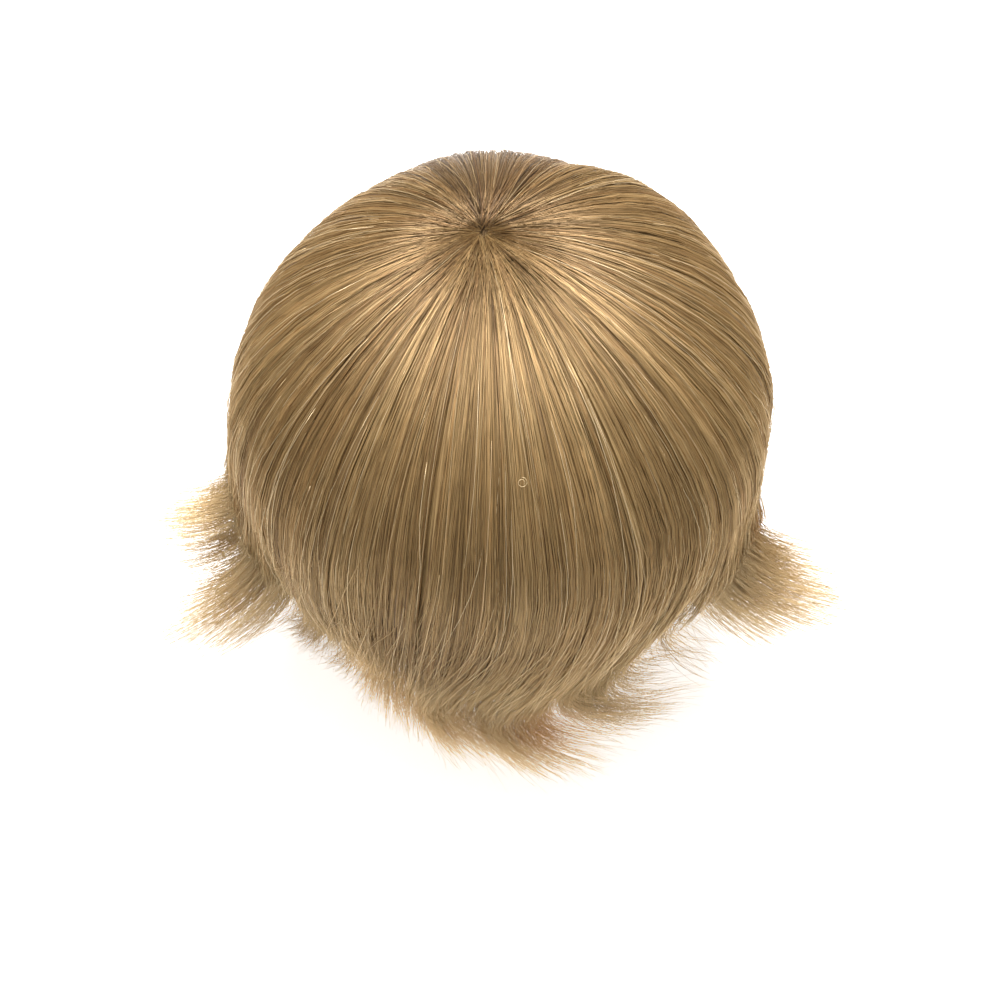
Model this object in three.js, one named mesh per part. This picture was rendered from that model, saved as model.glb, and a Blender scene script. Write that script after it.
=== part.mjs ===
// A short blonde toupee hairpiece: a thin crown cap with fifteen locks of straight hair on it.
// Every lock is a slice of one sheet that spreads from the whorl, rolls over the crown and hangs
// below the cap's edge. The real strands are finer than this form, which is their outer shape.
// Millimetres, Z up. The origin is the highest inner point of the cap, where it sits on a head.
// The wearer faces -Y and the wearer's left is +X.

import * as THREE from 'three';

// The cap, an 8 by 10 inch base measured along its curve
const CAP_HALF_WIDTH = 77;      // middle to side, at the edge
const CAP_FRONT = 84;           // middle to front edge
const CAP_BACK = 95;            // middle to back edge
const CAP_RISE = 60;            // edge to top
const CAP_WALL = 1;             // the thin base sheet
const SEAT_GAP = 0.6;           // cap to hair at the corners of the facets, about 0.3 between them

// The hair over the cap
const TOP_BODY = 12;            // origin to the top of the hair
const SIDE_BODY = 21;           // edge of the cap to the outside of the hair, at the sides
const FRONT_BODY = 17;
const BACK_BODY = 18;
const RIM_RAISE = 6;            // the hair is widest this far above the cap's edge
const FULLNESS = 2.25;          // 2 is an ellipse, more is squarer at the shoulders
const WHORL_X = -5;             // where the hair spreads from, a little to the wearer's right
const WHORL_Y = 30;             // and behind the middle
const WHORL_DEPTH = 8.5;        // the hair lies down to the cap at the whorl
const WHORL_SPREAD = 20;

// One lock
const RIM = 0.58;               // the part of a lock's length that lies over the cap
const ROOT = 4;                 // the locks start this far from the whorl
const TIP_THICKNESS = 2.2;
const THINNING = 1.6;           // how soon the hanging hair thins, 1 is evenly
const LOCK_GAP = 0.7;
const TAPER = 0.2;              // a lock is narrower at its tip by this part of its width
const ROUNDING = 0.05;          // the corners of a tip are shorter by this part of the length
const EDGE_DIP = 1.8;           // the long edges of a lock lie lower than its middle
const COLUMNS = 5;              // facets across a lock
const CROWN_ROWS = 11;          // facets from the whorl to the cap's edge
const HANG_ROWS = 8;            // facets from the cap's edge to the tip
const CAP_COLUMNS = 45;
const CAP_ROWS = 6;

// The most that the hanging hair does. The table below gives shares of these.
const DROP = 68;                // tips below the widest line of the hair
const TUCK = 14;                // how far the hanging part first goes in
const FLICK = 44;               // how far the tips then turn out
const LIFT = 14;                // how far they turn up
const SWEEP = 38;               // how far the fringe is carried to the wearer's left, or right if less than 0
const CURL = 14;                // how far its tips alone turn to the wearer's left

// How the hair hangs, by angle round the whorl in degrees: 0 is the front, 90 the wearer's left
const HANG = [
  { at: 0, drop: 0.88, tuck: 0.7, flick: 0.36, lift: 0.3, sweep: -0.42, curl: 0.45 },
  { at: 16, drop: 0.91, tuck: 0.7, flick: 0.4, lift: 0.3, sweep: -0.63, curl: 0.85 },
  { at: 30, drop: 0.82, tuck: 0.85, flick: 0.32, lift: 0.3, sweep: -0.84, curl: 1 },
  { at: 40, drop: 0.62, tuck: 1, flick: 0.14, lift: 0.35, sweep: -1, curl: 0.3 },
  { at: 43, drop: 0.74, tuck: 0.85, flick: 0.68, lift: 0.65, sweep: -0.1, curl: 0 },
  { at: 52, drop: 0.7, tuck: 0.7, flick: 1, lift: 0.85, sweep: -0.05, curl: 0 },
  { at: 61, drop: 0.68, tuck: 0.7, flick: 0.64, lift: 1, sweep: -0.2, curl: 0 },
  { at: 64, drop: 0.82, tuck: 0.85, flick: 0.14, lift: 0.3, sweep: -0.1, curl: 0 },
  { at: 80, drop: 0.85, tuck: 0.92, flick: 0.14, lift: 0.2, sweep: 0, curl: 0 },
  { at: 100, drop: 0.88, tuck: 0.92, flick: 0.18, lift: 0.2, sweep: 0, curl: 0 },
  { at: 125, drop: 0.91, tuck: 0.85, flick: 0.27, lift: 0.2, sweep: 0, curl: 0 },
  { at: 150, drop: 0.97, tuck: 0.7, flick: 0.4, lift: 0.2, sweep: 0.1, curl: 0 },
  { at: 180, drop: 1, tuck: 0.7, flick: 0.4, lift: 0.2, sweep: 0, curl: 0 },
  { at: 210, drop: 0.97, tuck: 0.7, flick: 0.4, lift: 0.2, sweep: -0.1, curl: 0 },
  { at: 240, drop: 0.91, tuck: 0.7, flick: 0.32, lift: 0.2, sweep: 0, curl: 0 },
  { at: 265, drop: 0.85, tuck: 0.7, flick: 0.18, lift: 0.2, sweep: 0, curl: 0 },
  { at: 288, drop: 0.79, tuck: 0.57, flick: 0.14, lift: 0.3, sweep: 0.05, curl: 0 },
  { at: 291, drop: 0.65, tuck: 0.43, flick: 0.5, lift: 0.57, sweep: 0.16, curl: 0 },
  { at: 301, drop: 0.62, tuck: 0.43, flick: 0.73, lift: 0.85, sweep: 0.05, curl: 0 },
  { at: 304, drop: 0.74, tuck: 0.57, flick: 0.55, lift: 0.35, sweep: 0.2, curl: 0 },
  { at: 316, drop: 0.74, tuck: 0.57, flick: 0.95, lift: 0.5, sweep: 0.05, curl: 0 },
  { at: 319, drop: 0.7, tuck: 0.64, flick: 0.14, lift: 0.2, sweep: 0.13, curl: 0 },
  { at: 334, drop: 0.74, tuck: 0.7, flick: 0.09, lift: 0.2, sweep: 0, curl: 0 },
  { at: 348, drop: 0.82, tuck: 0.7, flick: 0.23, lift: 0.2, sweep: -0.18, curl: 0.15 },
];

// The locks, each from one angle round the whorl to the next
const LOCKS = [
  { name: 'fringe_centre', from: -10, to: 8 },
  { name: 'fringe_left', from: 8, to: 25 },
  { name: 'temple_left', from: 25, to: 41.5 },
  { name: 'tuft_left', from: 41.5, to: 62.5 },
  { name: 'side_left', from: 62.5, to: 92 },
  { name: 'back_side_left', from: 92, to: 126 },
  { name: 'back_left', from: 126, to: 160 },
  { name: 'back_centre', from: 160, to: 200 },
  { name: 'back_right', from: 200, to: 234 },
  { name: 'back_side_right', from: 234, to: 266 },
  { name: 'side_right', from: 266, to: 289.5 },
  { name: 'wing_right', from: 289.5, to: 302.5 },
  { name: 'tuft_right', from: 302.5, to: 317.5 },
  { name: 'temple_right', from: 317.5, to: 334 },
  { name: 'fringe_right', from: 334, to: 350 },
];

const HAIR = {
  side: CAP_HALF_WIDTH + SIDE_BODY,
  front: CAP_FRONT + FRONT_BODY,
  back: CAP_BACK + BACK_BODY,
  rise: CAP_RISE - RIM_RAISE + TOP_BODY,
  top: TOP_BODY,
};
const cap = (more) => ({
  side: CAP_HALF_WIDTH + more,
  front: CAP_FRONT + more,
  back: CAP_BACK + more,
  rise: CAP_RISE + more,
  top: more,
});
const UNDER_HAIR = cap(CAP_WALL + SEAT_GAP);

const clamp = (x) => Math.min(1, Math.max(0, x));
const smooth = (x, a, b) => {
  const t = clamp((x - a) / (b - a));
  return t * t * (3 - 2 * t);
};
const direction = (angle) => {
  const t = THREE.MathUtils.degToRad(angle);
  return new THREE.Vector2(Math.sin(t), -Math.cos(t));
};

// What the hair does at an angle, eased between the rows on each side of it
function hangAt(angle) {
  const a = THREE.MathUtils.euclideanModulo(angle, 360);
  const below = HANG.filter((row) => row.at <= a).pop();
  const next = HANG[(HANG.indexOf(below) + 1) % HANG.length];
  const span = THREE.MathUtils.euclideanModulo(next.at - below.at, 360);
  const t = smooth(a - below.at, 0, span);
  const share = (key) => below[key] + (next[key] - below[key]) * t;
  return {
    drop: DROP * share('drop'),
    tuck: TUCK * share('tuck'),
    flick: FLICK * share('flick'),
    lift: LIFT * share('lift'),
    sweep: SWEEP * share('sweep'),
    curl: CURL * share('curl'),
  };
}

// From the whorl to the outline of a dome, which is one half ellipse in front and one behind
function reach(angle, form) {
  const d = direction(angle);
  const hit = (length) => {
    const p = 1 / (form.side * form.side);
    const q = 1 / (length * length);
    const a = p * d.x * d.x + q * d.y * d.y;
    const b = p * WHORL_X * d.x + q * WHORL_Y * d.y;
    const c = p * WHORL_X * WHORL_X + q * WHORL_Y * WHORL_Y - 1;
    return (-b + Math.sqrt(b * b - a * c)) / a;
  };
  const behind = hit(form.back);
  return WHORL_Y + behind * d.y >= 0 ? behind : hit(form.front);
}

// A point of a dome: share 0 is the whorl and 1 the outline
function onDome(angle, share, form) {
  const d = direction(angle);
  const away = reach(angle, form) * Math.sin((Math.PI / 2) * share);
  const x = WHORL_X + away * d.x;
  const y = WHORL_Y + away * d.y;
  const r = Math.hypot(x / form.side, y / (y < 0 ? form.front : form.back));
  const z = form.top - form.rise + form.rise * clamp(1 - r ** FULLNESS) ** (1 / FULLNESS);
  return new THREE.Vector3(x, y, z);
}

// A point of the outer sheet of hair: s is 0 at the whorl, RIM above the cap's edge and 1 at the tip
function outer(angle, s) {
  const p = onDome(angle, clamp(s / RIM), HAIR);
  const away = Math.hypot(p.x - WHORL_X, p.y - WHORL_Y);
  p.z -= WHORL_DEPTH * Math.exp(-((away / WHORL_SPREAD) ** 2));
  const rim = onDome(angle, 1, HAIR);
  const out = new THREE.Vector2(rim.x, rim.y).normalize();
  const row = hangAt(angle);
  const v = clamp((s - RIM) / (1 - RIM));
  const outward = row.flick * clamp((v - 0.4) / 0.6) ** 2 - row.tuck * smooth(v, 0, 0.75);
  const sideways = row.sweep * smooth(s, 0.44, 0.92) + row.curl * clamp((s - 0.82) / 0.18) ** 2;
  p.x += out.x * outward - out.y * sideways;
  p.y += out.y * outward + out.x * sideways;
  p.z -= row.drop * Math.sin((Math.PI / 2) * v) - row.lift * clamp((v - 0.6) / 0.4) ** 2;
  return p;
}

// The way through the hanging hair, square to its length and to the outline
function inward(angle, s) {
  const along = outer(angle, Math.min(1, s + 0.01)).sub(outer(angle, s - 0.01));
  const rim = onDome(angle, 1, HAIR);
  const across = new THREE.Vector3(-rim.y, rim.x, 0).normalize();
  return along.cross(across).normalize().negate();
}

// The inner face: over the cap at SEAT_GAP, then hanging and thinner toward the tip
function inner(angle, s) {
  if (s <= RIM) return onDome(angle, s / RIM, UNDER_HAIR);
  const v = (s - RIM) / (1 - RIM);
  const atRim = onDome(angle, 1, UNDER_HAIR).sub(onDome(angle, 1, HAIR));
  const thickness = TIP_THICKNESS + (atRim.length() - TIP_THICKNESS) * (1 - v) ** THINNING;
  const way = atRim.normalize().lerp(inward(angle, s), smooth(v, 0, 0.3)).normalize();
  return outer(angle, s).addScaledVector(way, thickness);
}

// One closed body from an upper and a lower grid of points with the same rows and columns
function closedBody(upper, lower) {
  const rows = upper.length;
  const columns = upper[0].length;
  const points = [...upper.flat(), ...lower.flat()].flatMap((p) => [p.x, p.y, p.z]);
  const top = (j, i) => j * columns + i;
  const low = (j, i) => rows * columns + j * columns + i;
  const faces = [];
  const quad = (a, b, c, d) => faces.push(a, b, c, a, c, d);
  for (let j = 0; j < rows - 1; j++) {
    for (let i = 0; i < columns - 1; i++) {
      quad(top(j, i), top(j + 1, i), top(j + 1, i + 1), top(j, i + 1));
      quad(low(j, i), low(j, i + 1), low(j + 1, i + 1), low(j + 1, i));
    }
    quad(top(j, 0), low(j, 0), low(j + 1, 0), top(j + 1, 0));
    quad(top(j, columns - 1), top(j + 1, columns - 1), low(j + 1, columns - 1), low(j, columns - 1));
  }
  for (let i = 0; i < columns - 1; i++) {
    quad(top(0, i), top(0, i + 1), low(0, i + 1), low(0, i));
    quad(top(rows - 1, i), low(rows - 1, i), low(rows - 1, i + 1), top(rows - 1, i + 1));
  }
  const body = new THREE.BufferGeometry();
  body.setAttribute('position', new THREE.Float32BufferAttribute(points, 3));
  body.setIndex(faces);
  body.computeVertexNormals();
  return body;
}

// A lock of hair, from the whorl to its rounded tip
function lock({ from, to }) {
  const upper = [];
  const lower = [];
  for (let j = 0; j <= CROWN_ROWS + HANG_ROWS; j++) {
    const upperRow = [];
    const lowerRow = [];
    for (let i = 0; i <= COLUMNS; i++) {
      const side = (2 * i) / COLUMNS - 1;
      const plain = (from + to) / 2 + (side * (to - from)) / 2;
      const start = (RIM * Math.asin(ROOT / reach(plain, HAIR)) * 2) / Math.PI;
      const end = 1 - ROUNDING * side * side;
      const s = j <= CROWN_ROWS
        ? start + ((RIM - start) * j) / CROWN_ROWS
        : RIM + ((end - RIM) * (j - CROWN_ROWS)) / HANG_ROWS;
      const v = clamp((s - RIM) / (1 - RIM));
      const away = reach(plain, HAIR) * Math.sin((Math.PI / 2) * clamp(s / RIM));
      const gap = THREE.MathUtils.radToDeg(LOCK_GAP / 2 / away);
      const half = ((to - from) / 2) * (1 - TAPER * v * v) - gap;
      const angle = (from + to) / 2 + side * half;
      const dip = EDGE_DIP * side ** 4 * smooth(s, 0.04, 0.3) * (1 - 0.7 * v);
      const a = outer(angle, s);
      const b = inner(angle, s);
      upperRow.push(a.clone().lerp(b, dip / a.distanceTo(b)));
      lowerRow.push(b);
    }
    upper.push(upperRow);
    lower.push(lowerRow);
  }
  return closedBody(upper, lower);
}

// The cap: two domes one wall apart, joined round the edge
function crownCap() {
  const points = [];
  const faces = [];
  for (const form of [cap(CAP_WALL), cap(0)]) {
    points.push(onDome(0, 0, form));
    for (let j = 1; j <= CAP_ROWS; j++) {
      for (let i = 0; i < CAP_COLUMNS; i++) {
        points.push(onDome((360 * i) / CAP_COLUMNS, j / CAP_ROWS, form));
      }
    }
  }
  const half = points.length / 2;
  const at = (j, i) => 1 + (j - 1) * CAP_COLUMNS + (i % CAP_COLUMNS);
  for (let i = 0; i < CAP_COLUMNS; i++) {
    faces.push(0, at(1, i), at(1, i + 1));
    faces.push(half, half + at(1, i + 1), half + at(1, i));
    for (let j = 1; j < CAP_ROWS; j++) {
      const [a, b, c, d] = [at(j, i), at(j + 1, i), at(j + 1, i + 1), at(j, i + 1)];
      faces.push(a, b, c, a, c, d);
      faces.push(half + a, half + c, half + b, half + a, half + d, half + c);
    }
    const [e, f] = [at(CAP_ROWS, i), at(CAP_ROWS, i + 1)];
    faces.push(e, half + e, half + f, e, half + f, f);
  }
  const body = new THREE.BufferGeometry();
  body.setAttribute('position', new THREE.Float32BufferAttribute(points.flatMap((p) => [p.x, p.y, p.z]), 3));
  body.setIndex(faces);
  body.computeVertexNormals();
  return body;
}

const group = new THREE.Group();
group.name = 'toupee_hairpiece';

function add(name, geometry, colour, roughness) {
  const mesh = new THREE.Mesh(geometry, new THREE.MeshStandardMaterial({ color: colour, roughness }));
  mesh.name = name;
  group.add(mesh);
}

add('base_cap', crownCap(), '#cdb9a2', 0.8);
for (const row of LOCKS) add(row.name, lock(row), '#a98b62', 0.55);

export default group;
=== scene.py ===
# %% [markdown]
# # A short blonde toupee
#
# A toupee is a thin crown cap with thousands of straight strands tied into it. The strands
# spread from one point, the whorl, roll over the crown and hang past the cap's edge as a
# fringe, temples, sides and back. In this notebook the hair is one sheet, worked out from a
# short table, and every strand is a line drawn on or just under that sheet.
#
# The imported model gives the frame: metres, +Z up, the wearer faces -Y and the wearer's left
# is +X. It loads first, and its box is the size that the hair has to keep.

import bpy
import numpy as np
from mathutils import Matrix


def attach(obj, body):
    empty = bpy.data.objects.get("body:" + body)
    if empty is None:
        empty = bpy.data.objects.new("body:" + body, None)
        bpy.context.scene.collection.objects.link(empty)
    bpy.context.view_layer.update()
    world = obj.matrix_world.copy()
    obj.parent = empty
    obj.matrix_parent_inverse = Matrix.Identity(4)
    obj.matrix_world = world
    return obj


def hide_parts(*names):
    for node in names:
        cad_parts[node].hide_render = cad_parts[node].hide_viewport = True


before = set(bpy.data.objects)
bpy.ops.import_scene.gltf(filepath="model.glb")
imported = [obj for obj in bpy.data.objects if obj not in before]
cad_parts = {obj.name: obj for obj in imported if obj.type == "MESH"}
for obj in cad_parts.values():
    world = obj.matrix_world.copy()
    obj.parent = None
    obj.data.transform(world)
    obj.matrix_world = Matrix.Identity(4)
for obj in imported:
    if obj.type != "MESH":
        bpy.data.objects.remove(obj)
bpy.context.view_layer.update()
MM = 0.001
print("nodes:", len(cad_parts))

# %% [markdown]
# ## Camera
#
# The photo looks down on the front of the hair at about 50 degrees. A camera 700 mm away with
# a 70 mm lens gives the same mild perspective. The lens is shifted a little, so that the whorl
# and the fringe lie in the frame as they do in the photo.

# %% Camera
import math

from mathutils import Vector

LOOK_AT = Vector((0, 0, -50 * MM))
DISTANCE = 700 * MM
ELEVATION = math.radians(50)


def add_object(name, data):
    """A linked object at the origin for this data."""
    obj = bpy.data.objects.new(name, data)
    bpy.context.scene.collection.objects.link(obj)
    return obj


camera = add_object("camera", bpy.data.cameras.new("camera"))
toward = Vector((0, -math.cos(ELEVATION), math.sin(ELEVATION)))
camera.location = LOOK_AT + toward * DISTANCE
camera.rotation_euler = (-toward).to_track_quat("-Z", "Y").to_euler()
camera.data.sensor_width = 36
camera.data.lens = 70
camera.data.shift_x = -0.003
camera.data.shift_y = -0.092
camera.data.clip_start = 0.01
bpy.context.scene.camera = camera
print("camera at", [round(value, 3) for value in camera.location])

# %% [markdown]
# ## The sheet of hair
#
# All of the hair follows one surface with two parameters: the angle round the whorl, and s,
# which is 0 at the whorl, 0.58 above the edge of the cap and 1 at the tips. The crown part is
# a full dome. The hanging part drops, tucks in, turns out at the tips and, in the fringe, is
# carried sideways. A table says how much of each there is at each angle, with the CAD model's
# values but for small changes at the tufts and the fringe's tips.

# %% Sizes of the cap and the hair, in millimetres
CAP = {"side": 77, "front": 84, "back": 95, "rise": 60, "top": 0}
HAIR = {"side": 98, "front": 101, "back": 113, "rise": 66, "top": 12}
UNDER = {"side": 78.6, "front": 85.6, "back": 96.6, "rise": 61.6, "top": 1.6}
FULLNESS = 2.25
RIM = 0.58

# The whorl's place, how deep and wide its dimple is, and how far it pulls the hair aside and back
WHORL = np.array([-5.0, 30.0])
WHORL_DEPTH, WHORL_SPREAD = 6.5, 18
WHORL_ASIDE, WHORL_BACK = -2.0, 5.0

# How thick the hair is at its tips, and how fast it thins toward them
TIP_THICKNESS, THINNING = 2.2, 1.6

# The most that the hanging hair does, in millimetres, and its share of that by angle. Rows nearer
# than this many degrees are a parting.
PARTING = 4
MOST = {"drop": 68, "tuck": 14, "flick": 44, "lift": 14, "sweep": 38, "curl": 14}
HANG = [
    # angle, drop, tuck, flick, lift, sweep, curl
    (0, 0.88, 0.70, 0.36, 0.30, -0.42, 0.85),
    (16, 0.91, 0.70, 0.40, 0.30, -0.63, 1.20),
    (30, 0.82, 0.85, 0.32, 0.30, -0.84, 1.20),
    (40, 0.62, 1.00, 0.14, 0.35, -1.00, 0.30),
    (43, 0.72, 0.85, 0.62, 0.65, -0.10, 0.00),
    (52, 0.64, 0.70, 0.88, 0.85, -0.05, 0.00),
    (61, 0.68, 0.70, 0.64, 1.00, -0.20, 0.00),
    (64, 0.82, 0.85, 0.14, 0.30, -0.30, 0.00),
    (80, 0.85, 0.92, 0.14, 0.20, -0.06, 0.00),
    (100, 0.88, 0.92, 0.18, 0.20, 0.00, 0.00),
    (125, 0.91, 0.85, 0.27, 0.20, 0.00, 0.00),
    (150, 0.97, 0.70, 0.40, 0.20, 0.10, 0.00),
    (180, 1.00, 0.70, 0.40, 0.20, 0.00, 0.00),
    (210, 0.97, 0.70, 0.40, 0.20, -0.10, 0.00),
    (240, 0.91, 0.70, 0.32, 0.20, 0.00, 0.00),
    (265, 0.85, 0.70, 0.18, 0.20, 0.00, 0.00),
    (288, 0.79, 0.57, 0.14, 0.30, 0.05, 0.00),
    (291, 0.61, 0.43, 0.50, 0.70, 0.16, 0.00),
    (301, 0.55, 0.43, 0.70, 1.30, 0.05, 0.00),
    (304, 0.76, 0.57, 0.62, 0.35, 0.20, 0.00),
    (316, 0.78, 0.57, 1.02, 0.40, 0.05, 0.00),
    (319, 0.70, 0.64, 0.14, 0.20, 0.13, 0.00),
    (334, 0.74, 0.70, 0.09, 0.20, 0.00, 0.00),
    (348, 0.82, 0.70, 0.23, 0.20, -0.18, 0.50),
]

# Each lock's angles, how dense its surface and inner strands are, and how much it fans out
LOCKS = [
    # name, from angle, to angle, surface fill, inner fill, fan
    ("fringe_centre", -10, 8, 1.1, 4.4, 0.3),
    ("fringe_left", 8, 25, 1.1, 4.4, 0.3),
    ("temple_left", 25, 41.5, 1.1, 2.4, 0.1),
    ("tuft_left", 41.5, 62.5, 1.7, 7.0, 1.0),
    ("side_left", 62.5, 92, 0.95, 1.0, 0.0),
    ("back_side_left", 92, 126, 0.9, 1.0, 0.0),
    ("back_left", 126, 160, 0.9, 1.0, 0.05),
    ("back_centre", 160, 200, 0.9, 1.0, 0.05),
    ("back_right", 200, 234, 0.9, 1.0, 0.05),
    ("back_side_right", 234, 266, 0.9, 1.0, 0.0),
    ("side_right", 266, 289.5, 0.95, 1.0, 0.0),
    ("wing_right", 289.5, 302.5, 1.7, 7.5, 1.0),
    ("tuft_right", 302.5, 317.5, 1.7, 7.0, 1.0),
    ("temple_right", 317.5, 334, 1.1, 2.4, 0.1),
    ("fringe_right", 334, 350, 1.1, 3.3, 0.3),
]

# Where the hair's body stands out from the plain dome, or sinks
SWELLS = [
    # angle, width in degrees, s, width in s, mm
    (126, 24, 0.33, 0.20, 3.0),
    (184, 20, 0.33, 0.20, 2.0),
    (155, 9, 0.28, 0.16, -1.5),
    (290, 40, 0.35, 0.25, 1.0),
    (64, 20, 0.64, 0.11, -4.0),
    (6, 0.8, 0.36, 0.12, -1.6),
]
WAVE, WAVES_ROUND = 1.0, 17
print(len(HANG), "rows and", len(LOCKS), "locks")


# %% Easing, noise, directions and the table
def ease(x, start, end):
    """0 before start, 1 after end, and 3t squared minus 2t cubed between them."""
    t = np.clip((x - start) / (end - start), 0, 1)
    return t * t * (3 - 2 * t)


def rise_from(x, start):
    """0 before start, then the square of the way from start to 1, and a little past 1."""
    return np.clip((x - start) / (1 - start), 0, 1.15) ** 2


def ripple(angle, s, waves, seed, drift=1.0):
    """Smooth noise of about -1 to 1: six sines with whole numbers of waves per turn, whose
    phases drift slowly along s."""
    rng = np.random.default_rng(seed)
    total = 0
    for _ in range(6):
        count = round(waves * rng.uniform(0.55, 1.6))
        phase, slide = rng.uniform(0, 2 * np.pi), rng.uniform(-2, 2) * np.pi * drift
        total = total + np.sin(np.radians(angle) * count + slide * s + phase)
    return total / 3


def unit(vectors):
    return vectors / np.maximum(np.linalg.norm(vectors, axis=-1, keepdims=True), 1e-9)


def heading(angle):
    """The plan direction at an angle: (sine, minus cosine), so 0 is the wearer's front."""
    turn = np.radians(angle)
    return np.stack([np.sin(turn), -np.cos(turn)], axis=-1)


def hang_at(angle, soft=False):
    """What the hair does at each angle, in mm: eased between two rows of the table. Rows nearer
    than PARTING are a parting, where hair goes with one side or the other. Soft partings let it
    spread over the gap instead."""
    rows = np.array(HANG + [(360,) + HANG[0][1:]])
    at = np.mod(angle, 360)
    low = np.clip(np.searchsorted(rows[:, 0], at, side="right") - 1, 0, len(rows) - 2)
    span = rows[low + 1, 0] - rows[low, 0]
    t = (at - rows[low, 0]) / span
    t = np.where((span < PARTING) & (not soft), (t > 0.5) * 1.0, ease(t, 0, 1))[..., None]
    share = rows[low, 1:] * (1 - t) + rows[low + 1, 1:] * t
    return {key: MOST[key] * share[..., k] for k, key in enumerate(MOST)}


print("fringe sweep in mm:", hang_at(np.array([0.0, 20.0, 40.0]))["sweep"].round(1))


# %% The dome and the outer sheet
def reach(angle, form):
    """From the whorl to the outline: the positive root of the line's crossing with the front
    half ellipse or the back one."""
    d = heading(angle)

    def crossing(length):
        p, q = 1 / form["side"] ** 2, 1 / length**2
        a = p * d[..., 0] ** 2 + q * d[..., 1] ** 2
        b = p * WHORL[0] * d[..., 0] + q * WHORL[1] * d[..., 1]
        c = p * WHORL[0] ** 2 + q * WHORL[1] ** 2 - 1
        return (-b + np.sqrt(b * b - a * c)) / a

    behind = crossing(form["back"])
    return np.where(WHORL[1] + behind * d[..., 1] >= 0, behind, crossing(form["front"]))


def on_dome(angle, share, form):
    """A point of a dome. The plan distance is reach times the sine of a quarter turn's share,
    and the height is rise times (1 - r to the power FULLNESS) to the power 1 / FULLNESS."""
    plan = WHORL + heading(angle) * (reach(angle, form) * np.sin(np.pi / 2 * share))[..., None]
    x, y = plan[..., 0], plan[..., 1]
    r = np.hypot(x / form["side"], y / np.where(y < 0, form["front"], form["back"]))
    cap = np.clip(1 - r**FULLNESS, 0, 1) ** (1 / FULLNESS)
    return np.stack([x, y, form["top"] - form["rise"] + form["rise"] * cap], axis=-1)


def outline(angle):
    """Unit vectors at the hair's outline: outward in plan, and along it to the wearer's left."""
    out = unit(on_dome(angle, np.ones_like(angle), HAIR) * (1, 1, 0))
    return out, np.stack([-out[..., 1], out[..., 0], np.zeros_like(angle)], axis=-1)


def bell(angle, s, spot):
    """1 at a spot, and a bell curve in angle times one in s round it. The spot is its angle and
    width in degrees, then its s and width in s."""
    at, wide, along, long = spot
    away = np.mod(angle - at + 180, 360) - 180
    return np.exp(-((away / wide) ** 2) - ((s - along) / long) ** 2)


def swell(angle, s):
    """How far the hair stands out from the dome: waves of the hanging part and each of SWELLS."""
    waves = WAVE * ripple(angle, s, WAVES_ROUND, 40, 0.8) * ease(s, 0.3, 0.65)
    return waves + sum(spot[-1] * bell(angle, s, spot[:-1]) for spot in SWELLS)


def outer(angle, s, more=None):
    """The outer sheet in mm. Over the crown it is the dome with its swells, less a dimple at the
    whorl. Then v runs from 0 to 1, and the sheet goes down by drop times a quarter turn's sine,
    in by tuck, out by flick, up by lift and sideways by sweep and curl. more scales these for
    single strands, whose partings are soft."""
    angle, s = np.broadcast_arrays(np.asarray(angle, float), np.asarray(s, float))
    does = hang_at(angle, soft=more is not None)
    for key, factor in (more or {}).items():
        does[key] = does[key] * factor
    point = on_dome(angle, np.clip(s / RIM, 0, 1), HAIR)
    near = np.exp(-(((point[..., :2] - WHORL) ** 2).sum(-1) / WHORL_SPREAD**2))
    point[..., 2] -= WHORL_DEPTH * near
    point[..., 0] += WHORL_ASIDE * near
    point[..., 1] += WHORL_BACK * near
    v = np.clip((s - RIM) / (1 - RIM), 0, 1.1)
    out, side = outline(angle)
    lean, puff = np.pi / 2 * np.clip(s / RIM, 0, 1), swell(angle, s)
    point += out * (puff * np.sin(lean))[..., None]
    point[..., 2] += puff * np.cos(lean)
    outward = does["flick"] * rise_from(v, 0.4) - does["tuck"] * ease(v, 0, 0.75)
    aside = does["sweep"] * ease(s, 0.44, 0.92) + does["curl"] * rise_from(s, 0.82)
    point += out * outward[..., None] + side * aside[..., None]
    point[..., 2] -= does["drop"] * np.sin(np.pi / 2 * np.clip(v, 0, 1))
    point[..., 2] += does["lift"] * rise_from(v, 0.6)
    return point


print("fringe tip in mm:", outer(np.array([10.0]), np.array([1.0])).round(1))


# %% Thickness and the way through the hair
def inward(angle, s, more=None):
    """The unit normal into the hair: minus the cross product of the way along a strand and
    the way along the outline."""
    along = outer(angle, np.minimum(s + 0.01, 1.04), more) - outer(angle, s - 0.01, more)
    across = np.broadcast_to(outline(np.asarray(angle, float))[1], along.shape)
    return -unit(np.cross(along, across))


def thickness(angle, s):
    """In mm: the gap between the two domes over the cap, then thinning to the tip."""
    gap = outer(angle, np.minimum(s, RIM)) - on_dome(angle, np.clip(s / RIM, 0, 1), UNDER)
    over_cap = np.linalg.norm(gap, axis=-1)
    v = np.clip((s - RIM) / (1 - RIM), 0, 1)
    return TIP_THICKNESS + (over_cap - TIP_THICKNESS) * (1 - v) ** THINNING


def inner(angle, s):
    """The inner face in mm: the dome over the cap, then in from the outer sheet by thickness."""
    angle, s = np.broadcast_arrays(np.asarray(angle, float), np.asarray(s, float))
    over_cap = on_dome(angle, np.clip(s / RIM, 0, 1), UNDER)
    at_rim = unit(over_cap - outer(angle, np.minimum(s, RIM)))
    turn = ease(s, RIM, RIM + 0.3 * (1 - RIM))[..., None]
    way = unit(at_rim * (1 - turn) + inward(angle, s) * turn)
    hanging = outer(angle, s) + way * thickness(angle, s)[..., None]
    return np.where((s <= RIM)[..., None], over_cap, hanging)


for name, where in (("whorl", 0.03), ("crown", 0.3), ("rim", RIM), ("tip", 1.0)):
    print(name, "thickness in mm:", thickness(np.array([0.0]), np.array([where])).round(1))

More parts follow.
